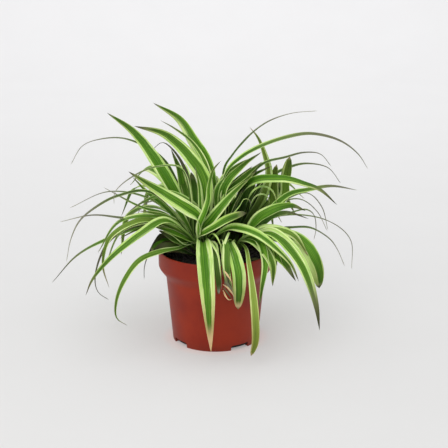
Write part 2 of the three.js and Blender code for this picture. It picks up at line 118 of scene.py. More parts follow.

# The leaves placed one by one, shoot by shoot: full width, turn of the blade about its own length in
# degrees, looks, and the points that the midrib passes after its root, up to the tip. A blunt leaf's
# width comes with the share of its length at which it is widest. Looks are where the pale margins start
# on either side of the midrib, as shares of the half width, the share of the length that has withered,
# how grey the leaf is, which is partly age and partly painted shade on leaves that lie in shadow, how
# yellow it has turned, and how tan its dry end is. Zeros at the end are left out, and where the looks are
# None, they are drawn.
FRONT_LEFT = (
    (17.5, -55, (0.52, 0.66, 0.1, 0.2), (-12, 4, 170), (-26, 6, 195), (-52, 9, 219), (-84, 10, 228)),
    (17, -62, (0.28, 0.68, 0.08), (-18, -20, 137), (-29, -24, 148), (-51, -31, 165), (-71, -36, 180),
     (-87, -39, 192)),
    (7, -5, (0.7, 0.7, 0.3, 0.9), (-34, -8, 186), (-56, -18, 192), (-82, -30, 185), (-101, -38, 170),
     (-102, -40, 158)),
    (6, -20, (0.8, 0.8, 0.45, 0.9), (-67, -15, 163), (-99, -27, 163), (-122, -36, 153), (-137, -42, 141),
     (-146, -47, 123), (-151, -50, 100)),
    (7, -10, (0.8, 0.8, 0.5, 0.9), (-58, -8, 134), (-93, -22, 138), (-125, -35, 145), (-157, -45, 141)),
    (8, -35, (0.72, 1, 0.12, 0.4, 0.3), (-67, -32, 138), (-86, -42, 138), (-106, -53, 126),
     (-113, -59, 100), (-107, -62, 76)),
    (6, -25, (0.9, 0.8, 1, 0.6), (-67, -18, 130), (-104, -28, 120), (-117, -32, 102), (-124, -35, 76),
     (-121, -35, 62), (-110, -36, 54)),
    (10, -45, (0.8, 0.55, 0.12, 0.2, 0.05), (-51, -35, 139), (-75, -53, 131), (-105, -70, 110),
     (-122, -79, 91), (-129, -82, 75)),
    (8, -15, (0.9, 0.8, 0.15, 0.1, 0.2), (-57, -22, 130), (-77, -30, 129), (-98, -38, 121)),
    (8, -25, (0.8, 0.9, 0.06, 0.3, 0.15), (-38, -36, 109), (-56, -47, 109), (-76, -58, 104), (-91, -66, 86),
     (-99, -72, 67), (-99, -75, 49), (-88, -76, 41)),
    (6, -10, (0.3, 0.8, 0.1, 0.4), (-32, -30, 112), (-44, -36, 124), (-58, -41, 132)),
    (15, -20, (0.9, 0.85, 0.1, 0.1), (-27, -22, 112), (-35, -26, 119), (-46, -31, 126), (-62, -36, 133)),
    (19, 0, (0.46, 0.52, 0.15, 0, 0, 1), (-12, -48, 118), (-10, -76, 107), (-7, -88, 73), (-4, -88, 17)),
    (12.5, 60, (0.6, 0.66, 0.06), (-10, -20, 128), (-4, -20, 136), (2, -20, 144), (11, -19, 155),
     (20, -17, 165), (35, -14, 179)),
    (11.5, 40, (0.5, 0.42, 0.1), (16, -36, 131), (26, -43, 133), (36, -49, 132), (47, -55, 128),
     (65, -64, 115), (76, -70, 104), (84, -73, 87)),
    ((13.5, 0.6), 40, (0.66, 0.7, 0.1, 0.25), (-15, -29, 120), (-7, -36, 128), (-1, -41, 133),
     (13, -47, 144), (32, -50, 152)),
    (14, 0, (0.7, 0.66, 0.1), (-14, -26, 131), (-9, -24, 145), (-6, -20, 157), (-6, -17, 167),
     (-4, -15, 179), (-1, -13, 188), (6, -10, 196)),
    (9, 0, (0.5, 0.95, 0.08), (-2, -45, 116), (1, -70, 105), (3, -80, 74)),
    (8, 10, (0.4, 0.6, 0.1), (-16, -8, 145), (-17, -4, 167), (-21, 0, 188)),
    (9, -30, (0.9, 0.8, 0.15, 0.2), (-42, 0, 143), (-58, 4, 154), (-76, 8, 146), (-90, 10, 136)),
    (10, -20, (0.95, 0.7, 0.1, 0.1, 0.1), (-41, -12, 131), (-57, -18, 141), (-79, -25, 147)),
)
FRONT_RIGHT = (
    (8, 45, (0.8, 0.6, 0.3, 0.2), (59, -6, 144), (78, 0, 158), (99, 4, 162), (121, 6, 165), (149, 8, 160)),
    (14, 50, (0.72, 0.95, 0.12, 0.1), (44, -15, 135), (54, -17, 143), (67, -18, 149), (79, -20, 151),
     (93, -22, 146)),
    (9, 30, (1, 0.9, 0.3, 0.4), (49, -2, 125), (60, 5, 132), (75, 10, 135), (99, 14, 127)),
    (7, 0, (1, 1, 0.4, 1), (59, -6, 119), (79, -10, 124), (100, -15, 125), (119, -18, 114), (127, -19, 103),
     (135, -20, 85)),
    ((20, 0.6), 40, (0.86, 0.04, 0.04), (59, -17, 115), (77, -25, 117), (90, -32, 111), (98, -38, 100),
     (104, -41, 86), (107, -42, 69)),
    (14, 40, (0.36, 0.7, 0.26, 0.3), (54, -38, 127), (68, -49, 123), (78, -57, 114), (88, -63, 100),
     (96, -67, 81), (102, -70, 60), (106, -72, 34)),
    (14, 40, (1, 0.7, 0.16, 0.1), (36, -33, 118), (54, -45, 112), (69, -52, 101), (82, -58, 82)),
    (6, 0, None, (8, -41, 114), (10, -66, 103), (10, -74, 78)),
    ((14, 0.62), 0, (0.5, 0.55, 0.06, 0, 0, 0.6), (15, -45, 118), (20, -66, 110), (24, -77, 94),
     (23, -80, 60)),
    (5, 0, None, (11, -50, 121), (13, -75, 102), (20, -86, 68)),
    ((8.5, 0.75), 0, (0.82, 0.6, 0.02, 0, 0.6), (31, -40, 111), (34, -66, 101), (37, -81, 83),
     (40, -88, 52), (40, -88, 27), (36, -88, 13)),
    (10, 0, (0.85, 0.55, 0.1), (44, -38, 117), (50, -58, 103), (47, -66, 79), (44, -68, 56)),
)
MIDDLE = (
    (17, -45, (0.36, 0.86, 0.05), (-10, 22, 183), (-24, 28, 209), (-38, 37, 229), (-66, 48, 245)),
    (8, -40, (0.6, 0.6, 0.12, 0.4), (-9, 12, 183), (-24, 20, 208), (-43, 27, 222), (-58, 30, 230)),
    (4, 20, (1, 1, 0.4, 0.9), (10, 11, 183), (18, 14, 196), (27, 17, 207), (40, 20, 220), (57, 23, 231),
     (80, 27, 238), (107, 30, 240)),
    (8, 30, (0.7, 0.8, 0.42, 0.45), (11, 5, 176), (27, 2, 196), (48, 0, 209), (77, -3, 220), (100, -5, 223),
     (128, -7, 216), (146, -9, 203), (157, -10, 187)),
    (8, 10, (0.8, 0.9, 0.35, 0.9), (36, 15, 171), (52, 20, 186), (74, 26, 191), (94, 30, 195),
     (111, 32, 193), (123, 34, 179)),
    (12, 45, (0.95, 0.36, 0.15, 0.1), (32, 10, 162), (44, 2, 172), (58, -8, 176), (74, -18, 178),
     (89, -26, 176), (106, -31, 171), (124, -36, 156)),
    (13, 45, (0.8, 0.66, 0.08, 0.1), (10, 0, 165), (29, 2, 188), (48, 4, 202)),
    (12, 35, (0.7, 0.6, 0.08, 0.1), (7, 8, 168), (22, 12, 184), (42, 18, 194)),
    (13, 45, (0.75, 0.7, 0.08, 0.1), (13, 4, 155), (29, 8, 173), (49, 12, 190)),
    (12, 40, (0.7, 0.7, 0.08, 0.05), (11, -4, 153), (28, 0, 169), (44, 4, 183)),
    (12, 30, (0.8, 0.8, 0.1, 0.1), (17, 8, 154), (36, 14, 172), (59, 20, 183)),
    (14, 35, (0.9, 0.8, 0.1, 0.1), (9, 12, 149), (23, 18, 167), (39, 24, 182)),
    (13, 20, (0.8, 0.62, 0.1, 0.1), (13, -4, 130), (19, -2, 147), (30, 2, 164)),
    (12, 40, (0.7, 0.6, 0.08), (3, 2, 161), (13, 4, 175), (32, 8, 192)),
)
REAR_LEFT = (
    (16.5, -48, (0.62, 0.74, 0.05), (-48, 28, 159), (-72, 40, 196), (-90, 47, 216), (-116, 55, 233)),
    (7, -5, (0.9, 0.9, 0.4, 0.9), (-54, 45, 180), (-95, 62, 202), (-126, 72, 200), (-146, 79, 191),
     (-160, 82, 169)),
    (6, 0, (1, 1, 1, 1), (-35, 60, 173), (-57, 74, 196), (-70, 82, 186)),
    (10, -45, (0.9, 0.5, 0.1), (-56, 4, 146), (-72, 0, 161), (-86, -4, 178)),
    (7, -20, (0.5, 0.8, 0.25, 0.3), (-53, 10, 132), (-79, 10, 141), (-117, 5, 164)),
    (7, 0, (0.9, 0.7, 0.4, 0.6), (-48, 22, 141), (-64, 24, 144), (-78, 26, 138), (-85, 28, 123)),
    (6, 0, (0.9, 0.9, 0.45, 0.9), (-71, 40, 141), (-116, 50, 147), (-160, 60, 126)),
    (9, -20, (0.6, 0.9, 0.3, 0.5), (-70, 20, 116), (-116, 30, 99), (-150, 37, 79), (-180, 41, 46)),
    (5, 0, (1, 1, 1, 1), (-48, 10, 114), (-67, 5, 96), (-75, 3, 79), (-76, 2, 63)),
    (14, -20, (0.8, 0.9, 0.1, 0.2), (-34, 30, 149), (-39, 32, 176), (-47, 34, 198)),
    (14, 0, None, (-14, 56, 128), (-12, 84, 112), (-13, 98, 60)),
    (11, 0, None, (-16, 60, 144), (-15, 96, 160), (-15, 134, 142)),
)
REAR_RIGHT = (
    (11, 20, (0.8, 0.4, 0.06, 0, 0.4), (49, 26, 144), (57, 30, 172), (52, 34, 194), (45, 37, 210),
     (36, 38, 221)),
    ((15, 0.75), 25, (0.62, 0.95, 0.03, 0, 0.2), (73, 25, 148), (75, 30, 162), (77, 34, 175),
     (79, 38, 189)),
    (8, 10, (0.8, 0.9, 0.35, 0.9), (54, 32, 163), (84, 45, 177), (102, 50, 178), (122, 55, 172),
     (136, 58, 154)),
    (6, 0, (0.6, 0.8, 0.45, 0.9), (64, 35, 136), (91, 45, 140), (110, 50, 125), (122, 52, 102)),
    (6, 0, (0.6, 0.8, 0.45, 0.9), (76, 60, 135), (101, 70, 140), (117, 75, 123), (125, 78, 95)),
    (5, 0, (0.7, 0.7, 0.55, 0.8), (82, 70, 115), (128, 88, 102), (152, 94, 79), (155, 98, 42)),
    (7, 0, (0.8, 0.7, 0.35, 0.8), (81, 20, 132), (97, 28, 133), (105, 31, 127), (108, 33, 111),
     (106, 34, 97)),
    (15, 0, None, (11, 58, 130), (5, 86, 120), (1, 104, 76)),
    (12, 10, None, (17, 62, 142), (15, 98, 150), (13, 134, 122)),
    ((15, 0.6), 25, (1, 0.8, 0.03, 0, 0.3), (61, 24, 142), (63, 28, 161), (65, 32, 182)),
    ((16, 0.5), 25, (1, 1, 0.1, 0.3), (26, 30, 129), (31, 34, 148), (40, 38, 174)),
    ((16, 0.5), 25, (1, 0.7, 0.1, 0.3), (41, 28, 131), (46, 32, 147), (50, 36, 165)),
)

# Each shoot's place, the leaves placed on it, and its extra leaves: how many, the fan of headings in
# degrees from +X, and the ranges of length and of slope at the root.
SHOOTS = {
    "front_left": ((-14, -15), FRONT_LEFT, 3, (150, 212), (75, 130), (25, 62)),
    "front_right": ((21, -13), FRONT_RIGHT, 4, (-52, -22), (65, 100), (10, 45)),
    "middle": ((2, 4), MIDDLE, 4, (30, 210), (60, 110), (64, 86)),
    "rear_left": ((-20, 17), REAR_LEFT, 8, (94, 142), (110, 170), (25, 68)),
    "rear_right": ((18, 22), REAR_RIGHT, 7, (44, 88), (100, 165), (25, 64)),
}

# Leaves narrower than this are old ones.
NARROW = 8.5

# How the extra leaves are drawn, as in the solid model.
EXTRA_SEED = 20
EXTRA_WIDTH = (8, 17)
EXTRA_DROOP = (85, 150)
DROOP_CURVE = 1.4
EXTRA_TURN = 30
EXTRA_STRAY = 8
EXTRA_CEILING = 168
EXTRA_LOWEST = 10
EXTRA_STEPS = 12
STEPS_PER_POINT = 4

# How far the solid model bends a leaf clear of other shoots, along the line of sight or sideways, and
# how near a tip of its mesh has to be to count as that leaf's.
BENDS = (0, 5, -5, 10, -10, 15, -15, 20, -20, 26, -26, 32, -32, 40, -40)
SIGHT = (0, 0.96, -0.28)
TIP_MATCH = 0.05

# Leaves that are on no shoot: old leaves and dry ends among the leaf bases, over the rim and in front of
# the pot, and narrow blades that close gaps between other leaves. Their rows are as those above, and
# their edges wave this many times as much.
OLD_WAVE = 2.0
OLD_LEAVES = (
    (4, -45, (1, 1, 1.4, 1), (-26, 6, 88), (-40, 4, 99), (-50, 0, 109), (-57, -4, 115), (-61, -10, 112),
     (-65, -20, 108), (-70, -30, 101), (-78, -38, 97)),
    (7, -60, (1, 1, 1.4, 0.6), (-24, 4, 92), (-37, -2, 102), (-45, -6, 111), (-53, -12, 116),
     (-59, -18, 114), (-63, -26, 107)),
    (8, -60, (1, 1, 1.4, 1), (-22, 0, 90), (-35, -6, 100), (-43, -12, 107), (-52, -18, 111),
     (-60, -24, 109)),
    ((12, 0.75), -65, (0.8, 1, 1.4, 0, 0.1), (-22, -2, 90), (-33, -8, 97), (-42, -14, 104), (-51, -20, 106),
     (-59, -24, 104)),
    (9, -60, (0.6, 1, 0.2), (-24, 6, 90), (-35, 2, 101), (-45, 0, 107), (-53, -5, 109), (-60, -10, 109),
     (-64, -16, 104)),
    ((9, 0.75), -60, (1, 1, 0.4, 0.8), (-22, -6, 92), (-34, -12, 99), (-44, -18, 106), (-54, -24, 108),
     (-63, -30, 104)),
    (14, -50, (1, 1, 0.3, 0.5), (-21, -18, 103), (-32, -22, 112), (-44, -27, 119), (-58, -32, 128)),
    ((9, 0.6), 0, (0.7, 0.8, 0.1, 0.4), (-25, 16, 103), (-22, 22, 121), (-21, 28, 139), (-23, 32, 158),
     (-26, 34, 173)),
    ((9, 0.6), 0, (0.8, 0.7, 0.1, 0.4), (-32, 18, 107), (-30, 24, 125), (-30, 28, 144), (-34, 32, 160),
     (-38, 34, 173)),
    ((8, 0.7), -55, (0.6, 1, 0.1), (-37, -4, 98), (-47, -14, 105), (-55, -20, 110), (-61, -24, 108),
     (-66, -28, 103)),
    ((14, 0.6), 0, (0.6, 0.7, 0.1, 0.3), (37, 30, 101), (44, 40, 125), (51, 46, 141), (57, 52, 160)),
    ((12, 0.6), 0, (0.8, 0.7, 0.1, 0.5), (28, 26, 104), (33, 36, 128), (37, 42, 143), (41, 48, 162)),
    ((12, 0.6), 0, (0.7, 0.8, 0.1, 0.2), (46, 36, 104), (58, 46, 128), (65, 50, 140), (71, 54, 158)),
    (2.5, 30, (0, 0, 0.2, 0.3), (12, -16, 129), (19, -20, 142), (25, -22, 151), (30, -22, 159),
     (35, -24, 158), (37, -26, 152)),
    (4, 20, (0.3, 0.3, 0.1, 0.4), (32, 0, 146), (36, -2, 156), (41, -3, 163), (49, -4, 167), (58, -5, 164),
     (63, -6, 154), (64, -7, 145)),
    (3.5, 20, (0.3, 0.5, 0.1, 0.4), (35, 0, 139), (38, -2, 149), (42, -3, 156), (49, -4, 159),
     (55, -5, 155), (56, -6, 146)),
    (14, -70, (1, 1, 1.4, 1), (-4, 8, 100), (11, 10, 113), (24, 12, 114), (38, 14, 110), (48, 14, 106)),
    (3, 0, (1, 1, 1.4, 1), (-36, 16, 94), (-46, 20, 104), (-52, 18, 112), (-50, 10, 114)),
    (5, 0, (1, 1, 1.4, 0.2), (-8, -30, 90), (-14, -38, 93), (-24, -42, 92), (-30, -40, 89)),
    (4, 30, (1, 1, 1.4, 0.4), (34, -20, 91), (42, -26, 95), (50, -26, 93), (52, -20, 90)),
    ((8, 0.6), 0, (1, 0.5, 0.2, 0.5), (2, -30, 112), (8, -44, 121), (11, -62, 120), (11, -74, 106),
     (13, -80, 91), (15, -83, 79)),
    ((6, 0.6), 0, (1, 1, 0.1, 0.7), (-8, -30, 112), (-3, -44, 117), (-1, -60, 114), (1, -70, 107),
     (3, -76, 92), (4, -80, 76)),
    (2.2, 30, (0, 0, 0.1), (-8, -30, 120), (-3, -40, 127), (1, -48, 127), (4, -56, 124), (6, -62, 120),
     (7, -66, 114)),
    (2.6, 20, (0, 0, 0.2, 0.3), (-10, -34, 116), (-6, -44, 121), (-2, -56, 119), (3, -66, 113),
     (5, -74, 102), (7, -81, 80)),
    (2.8, -20, (0, 0, 0.2, 0.2), (14, -30, 124), (14, -44, 129), (11, -54, 125), (8, -62, 118),
     (7, -68, 110), (8, -77, 93)),
    (2, 40, (1, 1, 1.4, 0, 1), (9, -82, 102), (12, -87, 99), (15, -88, 95), (17, -88, 90)),
    (2.2, 30, (1, 1, 1.4, 1), (10, -84, 99), (13, -88, 95), (14, -88, 91), (17, -88, 86)),
    (2, 40, (1, 1, 1.4, 0, 0.8), (8, -82, 87), (13, -87, 85), (17, -88, 80), (20, -88, 75)),
    (2.2, 30, (1, 1, 1.4, 1, 0.1), (8, -83, 84), (12, -88, 81), (15, -88, 77), (18, -88, 73)),
    (1.8, 40, (1, 1, 1.4, 0, 1), (8, -82, 81), (11, -87, 76), (14, -88, 73), (17, -88, 74)),
)

# Painted shade in the clump's middle, where little light reaches: the centre and the reach along X, Y
# and Z of that shaded place.
PAINTED_SHADE_CENTRE = (20, 18, 122)
PAINTED_SHADE_REACH = (58, 34, 62)

# The floor's colour near the camera, darker as painted shade, and at the back, a painted reflection of the
# pot's red on it, and how much light it gives off by itself, as a lit table does, so that shadows on it
# stay soft and pale.
FLOOR_NEAR = (0.48, 0.48, 0.475, 1.0)
FLOOR_FAR = (0.58, 0.58, 0.58, 1.0)
POT_RED_REFLECTION = (0.66, 0.38, 0.33, 1.0)
FLOOR_GLOW = 0.27

# A blade's channel: its fold in degrees at the root and further out, the shares of the length by which
# the fold has eased and the blade has turned, and how round the channel's bottom is.
FOLD = (50, 14)
FOLD_EASES_BY = 0.625
TURNED_BY = 0.4
CHANNEL_ROUNDNESS = 0.12

# A blade's width along its length, for pointed and for blunt ones: its share at the root, where it is
# widest, and the curve and the end of its taper. The curve of pointed ones grows between two widths.
ROOT_SHARE = 0.25
WIDEST = 0.38
TAPER_WIDTHS = (6, 15)
TAPER_CURVE = (1.1, 1.6)
TAPER_END = 0.9
BLUNT_ROOT = 0.5
BLUNT_CURVE = 3
BLUNT_END = 0.6

# Below its root a blade is a sheath: its share of the length, and how fast it widens and folds there.
SHEATH_SHARE = 0.12
SHEATH_FLARE = 1.6
SHEATH_FOLD = 120

# A blade's thickness at the midrib and the edges, how it thins between them, and its share at the tip.
MIDRIB_THICKNESS = 0.9
EDGE_THICKNESS = 0.3
THINNING = 0.7
TIP_SHARE = 0.7

# How the edges wave: the ranges of height and of length, the width from which the waves are full, and how
# fast they set in along the blade.
WAVE_HEIGHT = (0.1, 0.7)
WAVE_LENGTH = (28, 60)
WAVE_WIDTH = 16
WAVE_START = 4

# How finely a blade is divided: points across, which lie closer near the midrib, and stations along.
ACROSS = 13
ACROSS_CURVE = 1.25
STATION_LENGTH = 3.6
FEWEST_STATIONS = 14
SHEATH_STATIONS = 6

# The spacing of the fine ribs that run along a blade.
RIB_SPACING = 0.95

# In the map of a blade, the strip's foot up to this height is the blade's closed end.
STRIP_FOOT = 0.02


def mix(a, b, share):
    return a + (b - a) * share


def unit(vectors):
    return vectors / np.linalg.norm(vectors, axis=-1, keepdims=True)


def linked(name, data):
    """A new object of a mesh, a light or a camera, in the scene."""
    made = bpy.data.objects.new(name, data)
    bpy.context.scene.collection.objects.link(made)
    return made


def mesh_object(name, points, faces, material):
    """A smooth-shaded object of points in millimetres."""
    mesh = bpy.data.meshes.new(name)
    mesh.from_pydata((np.array(points) * MM).tolist(), [], faces)
    mesh.materials.append(material)
    mesh.shade_smooth()
    return linked(name, mesh)


def curved(start, corner, end, steps):
    """Points from the start to the end of a curve that rounds the corner."""
    w = np.linspace(0, 1, steps + 1)[:, None]
    return (1 - w) ** 2 * start + 2 * w * (1 - w) * corner + w**2 * end


def smooth_line(points, per_span=40):
    """A dense centripetal Catmull-Rom curve through the points."""
    points = np.array(points, float)
    whole = np.vstack([2 * points[0] - points[1], points, 2 * points[-1] - points[-2]])
    gaps = np.sqrt(np.linalg.norm(np.diff(whole, axis=0), axis=1))
    line = [points[:1]]
    for i in range(len(points) - 1):
        before, here, there, after = whole[i : i + 4]
        g0, g1, g2 = gaps[i : i + 3]
        leave = ((here - before) / g0 - (there - before) / (g0 + g1) + (there - here) / g1) * g1
        reach = ((there - here) / g1 - (after - here) / (g1 + g2) + (after - there) / g2) * g1
        w = np.linspace(0, 1, per_span + 1)[1:, None]
        cubic = 2 * here - 2 * there + leave + reach
        square = 3 * there - 3 * here - 2 * leave - reach
        line.append(here + leave * w + square * w**2 + cubic * w**3)
    return np.vstack(line)


def resampled(line):
    """Evenly spaced stations along the line, and its length."""
    far = np.concatenate([[0], np.cumsum(np.linalg.norm(np.diff(line, axis=0), axis=1))])
    spans = max(FEWEST_STATIONS, round(far[-1] / STATION_LENGTH))
    at = np.linspace(0, far[-1], spans + 1)
    return np.stack([np.interp(at, far, line[:, k]) for k in range(3)], 1), far[-1]


def width_and_widest(form):
    """A leaf's full width, and where along its length it is widest if it is a blunt one."""
    return form if isinstance(form, tuple) else (form, None)


def root_share(widest):
    return BLUNT_ROOT if widest else ROOT_SHARE


def width_share(t, width, widest):
    """A blade's width at shares of its length. A narrow one tapers evenly, and a blunt one widens late."""
    place = widest or WIDEST
    late = (place / WIDEST) ** 2
    near = mix(root_share(widest), 1, np.sin(np.clip(t / place, 0, 1) * math.pi / 2) ** late)
    breadth = min(1, max(0, (width - TAPER_WIDTHS[0]) / (TAPER_WIDTHS[1] - TAPER_WIDTHS[0])))
    curve = BLUNT_CURVE if widest else mix(*TAPER_CURVE, breadth)
    far = 1 - np.clip((t - place) / (1 - place), 0, 1) ** curve
    return np.where(t < place, near, far ** (BLUNT_END if widest else TAPER_END))


class Mesh:
    """Blades gathered into one mesh, with what their material reads at each point.

    place is (share across from -1 to 1, share along, length so far in mm), kind is (underside, half the
    full width in mm, a number of its own from 0 to 1), edges is (where the pale margins start on the
    negative and the positive side, tan share), and tone is (dry share, yellowness, greyness)."""

    def __init__(self):
        self.points, self.faces, self.strips = [], [], []
        self.values = {"place": [], "kind": [], "edges": [], "tone": []}
        self.count = 0

    def add(self, points, faces, strip, **values):
        """faces index the points of this blade, and strip gives each face's corners in a unit square."""
        self.points.append(points)
        self.faces += [tuple(self.count + k for k in face) for face in faces]
        self.strips.append(strip)
        for key, value in values.items():
            self.values[key].append(np.broadcast_to(value, (len(points), 3)))
        self.count += len(points)

    def build(self, name, material):
        made = mesh_object(name, np.vstack(self.points), self.faces, material)
        for key, values in self.values.items():
            attribute = made.data.attributes.new("leaf_" + key, "FLOAT_VECTOR", "POINT")
            attribute.data.foreach_set("vector", np.vstack(values).astype(np.float32).ravel())
        self.lay_out(made.data)
        return made

    def lay_out(self, mesh):
        """A map that gives each blade a strip of its own, so that its colours can be kept as a picture."""
        rows = 3
        columns = math.ceil(len(self.strips) / rows)
        margin = 0.04
        corners = []
        for k, strip in enumerate(self.strips):
            corner = np.array([k % columns, k // columns])
            inside = margin + (1 - 2 * margin) * np.vstack(strip)
            corners.append((corner + inside) / [columns, rows])
        layer = mesh.uv_layers.new(name="OFBake")
        layer.data.foreach_set("uv", np.vstack(corners).astype(np.float32).ravel())


def blade_line(shoot, points):
    """The midrib of a leaf of a shoot, from where it leaves the others to its tip."""
    x, y = SHOOTS[shoot][0]
    heading = unit(np.array([points[0][0] - x, points[0][1] - y]))
    ends = [(x + heading[0] * reach, y + heading[1] * reach, height) for reach, height in (ROOT, NECK)]
    return smooth_line([*ends, *points])


def sheath_line(line, shoot):
    """Points that lead from inside the soil up to the start of a midrib, to go before it."""
    x, y = SHOOTS[shoot][0]
    outwards = unit(line[0][:2] - [x, y])
    foot = np.array([x + outwards[0] * SHEATH_FOOT[0], y + outwards[1] * SHEATH_FOOT[0], SHEATH_FOOT[1]])
    bend = line[0] - unit(line[1] - line[0]) * (ROOT[1] - SHEATH_FOOT[1]) / 2
    return curved(foot, bend, line[0], SHEATH_STATIONS)[:-1]


def rippled(t, share, length, width, wave, draw):
    """How far the waves of a blade's two edges lift it, at shares along and across."""
    crest = draw.uniform(*WAVE_HEIGHT) * wave * min(1, width / WAVE_WIDTH)
    period = draw.uniform(*WAVE_LENGTH)
    phases = [draw.uniform(0, 2 * math.pi) for _ in range(2)]
    turns = t * length / period * 2 * math.pi
    waves = [crest * np.sin(turns + phase) * np.clip(t * WAVE_START, 0, 1) for phase in phases]
    return np.where(share < 0, waves[0][:, None], waves[1][:, None]) * share**2


def blade_faces(stations, around):
    """The faces of a closed blade of rings of points and a tip, and their corners in a unit square."""
    faces, strip = [], []
    for i in range(stations):
        low, high = [mix(STRIP_FOOT, 1, k / stations) for k in (i, i + 1)]
        for j in range(around):
            a, b = i * around + j, i * around + (j + 1) % around
            left, right = j / around, (j + 1) / around
            if i == stations - 1:
                faces.append((a, stations * around, b))
                strip.append([(left, low), ((left + right) / 2, high), (right, low)])
            else:
                faces.append((a, a + around, b + around, b))
                strip.append([(left, low), (left, high), (right, high), (right, low)])
    for j in range(around // 2 - 1):
        faces.append((j, j + 1, around - 2 - j, around - 1 - j))
        left, right = j / around, (j + 1) / around
        strip.append([(left, STRIP_FOOT / 2), (right, STRIP_FOOT / 2), (right, 0), (left, 0)])
    return faces, strip


def add_blade(mesh, line, shoot, form, turn, looks, draw, wave=1.0):
    """One leaf: a channelled blade along a midrib, closed, with a sheath down into the soil on a shoot."""
    width, widest = width_and_widest(form)
    rib, length = resampled(line)
    t = np.linspace(0, 1, len(rib))
    across = unit(np.array([rib[-1][1] - rib[0][1], rib[0][0] - rib[-1][0], 0]))
    if shoot:
        rib = np.vstack([sheath_line(rib, shoot), rib])
        t = np.concatenate([-np.linspace(SHEATH_SHARE, 0, SHEATH_STATIONS + 1)[:-1], t])
    along = unit(np.gradient(rib, axis=0))
    side = unit(across - along * (along @ across)[:, None])
    angle = np.radians(turn) * np.clip(t / TURNED_BY, 0, 1)[:, None]
    side = side * np.cos(angle) + np.cross(along, side) * np.sin(angle)
    face = np.cross(side, along)
    half = width / 2 * np.where(t < 0, root_share(widest) - t * SHEATH_FLARE, width_share(t, width, widest))
    fold = np.radians(mix(*FOLD, np.clip(t / FOLD_EASES_BY, 0, 1)) - SHEATH_FOLD * np.minimum(t, 0))

    share = np.linspace(-1, 1, ACROSS)
    share = np.sign(share) * np.abs(share) ** ACROSS_CURVE
    steep = np.hypot(share, CHANNEL_ROUNDNESS)
    rise = (steep - CHANNEL_ROUNDNESS) / (math.hypot(1, CHANNEL_ROUNDNESS) - CHANNEL_ROUNDNESS)
    ripple = rippled(t, share, length, width, wave, draw) * (half / (width / 2))[:, None]
    sideways = share * (half * np.cos(fold))[:, None]
    up = rise * (half * np.sin(fold))[:, None] + ripple
    lean = np.arctan2(share / steep * np.sin(fold)[:, None], np.cos(fold)[:, None])
    thick = mix(MIDRIB_THICKNESS, EDGE_THICKNESS, np.abs(share) ** THINNING) / 2
    thick = thick * np.linspace(1, TIP_SHARE, len(t))[:, None]
    rings = []
    for sign in (1, -1):
        out = sideways - sign * thick * np.sin(lean)
        over = up + sign * thick * np.cos(lean)
        rings.append(rib[:, None] + out[..., None] * side[:, None] + over[..., None] * face[:, None])
    ring = np.concatenate([rings[0], rings[1][:, ::-1]], axis=1)[:-1]
    stations, around = ring.shape[:2]

    place = np.broadcast_arrays([*share, *share[::-1]], t[:-1, None], (t * length)[:-1, None])
    under = np.append(np.tile(np.repeat([0, 1], ACROSS), stations), 0.5)
    low, high, dry, grey, yellow, tan = (*looks, 0, 0, 0)[:6]
    mesh.add(
        np.vstack([ring.reshape(-1, 3), rib[-1:]]),
        *blade_faces(stations, around),
        place=np.vstack([np.stack(place, 2).reshape(-1, 3), [0, 1, length]]),
        kind=np.stack(np.broadcast_arrays(under, width / 2, draw.random()), 1),
        edges=(low, high, tan),
        tone=(dry, yellow, grey),
    )


def random_from(seed):
    """Repeatable random numbers between 0 and 1, the same as the solid model draws."""
    while True:
        seed = (seed * 1664525 + 1013904223) % 2**32
        yield seed / 2**32


def extra_leaves():
    """The leaves that the solid model adds by rule: each rises at its own slope and droops more and more."""
    numbers = random_from(EXTRA_SEED)
    leaves = []
    for name, ((x, y), _, count, fan, lengths, rises) in SHOOTS.items():
        for i in range(count):
            heading = math.radians(mix(*fan, (i + 0.5) / count) + EXTRA_STRAY * (2 * next(numbers) - 1))
            stride = mix(*lengths, next(numbers)) / EXTRA_STEPS
            start_slope = mix(*rises, next(numbers))
            droop = mix(*EXTRA_DROOP, next(numbers))
            width = mix(*EXTRA_WIDTH, next(numbers))
            turn = EXTRA_TURN * (2 * next(numbers) - 1)
            reach, height, rib = NECK[0], 0, []
            for k in range(1, EXTRA_STEPS + 1):
                slope = math.radians(start_slope - droop * ((k - 0.5) / EXTRA_STEPS) ** DROOP_CURVE)
                reach += math.cos(slope) * stride
                height += math.sin(slope) * stride
                if k % STEPS_PER_POINT == 0:
                    rib.append((reach, height))
            squeeze = min(1, (EXTRA_CEILING - NECK[1]) / max(h for _, h in rib))
            c, s = math.cos(heading), math.sin(heading)
            points = []
            for r, h in rib:
                z = max(EXTRA_LOWEST, NECK[1] + (h * squeeze if h > 0 else h))
                points.append((x + r * c, y + r * s, z))
            leaves.append((name, width, turn, points, (-s, c, 0)))
    return leaves


def bent(points, direction, amount):
    """The points moved along a direction, more and more towards the tip."""
    shares = np.arange(1, len(points) + 1)[:, None] / len(points)
    return np.array(points, float) + np.array(direction) * amount * shares


def found_bend(points, direction, tips):
    """How far the solid model bent this leaf, told from where its mesh has a tip, or None."""
    for amount in BENDS:
        tip = bent(points, direction, amount)[-1]
        if np.linalg.norm(tips - tip, axis=1).min() < TIP_MATCH:
            return amount


def node_points(node):
    """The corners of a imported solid, in millimetres."""
    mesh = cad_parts[node].data
    co = np.empty(len(mesh.vertices) * 3, np.float32)
    mesh.vertices.foreach_get("co", co)
    return co.reshape(-1, 3) / MM


def drawn_looks(width, draw):
    """The looks of a leaf that has none of its own: narrow leaves are older, drier and greyer."""
    narrow = width < NARROW
    edges = [draw.uniform(0.42, 0.78) for _ in range(2)]
    dry = draw.uniform(0.15, 0.4) if narrow else draw.uniform(0.03, 0.1)
    yellow = draw.uniform(0, 0.25)
    grey = draw.uniform(0.1, 0.4) if narrow else draw.uniform(0, 0.2)
    return (*edges, dry, grey, yellow)


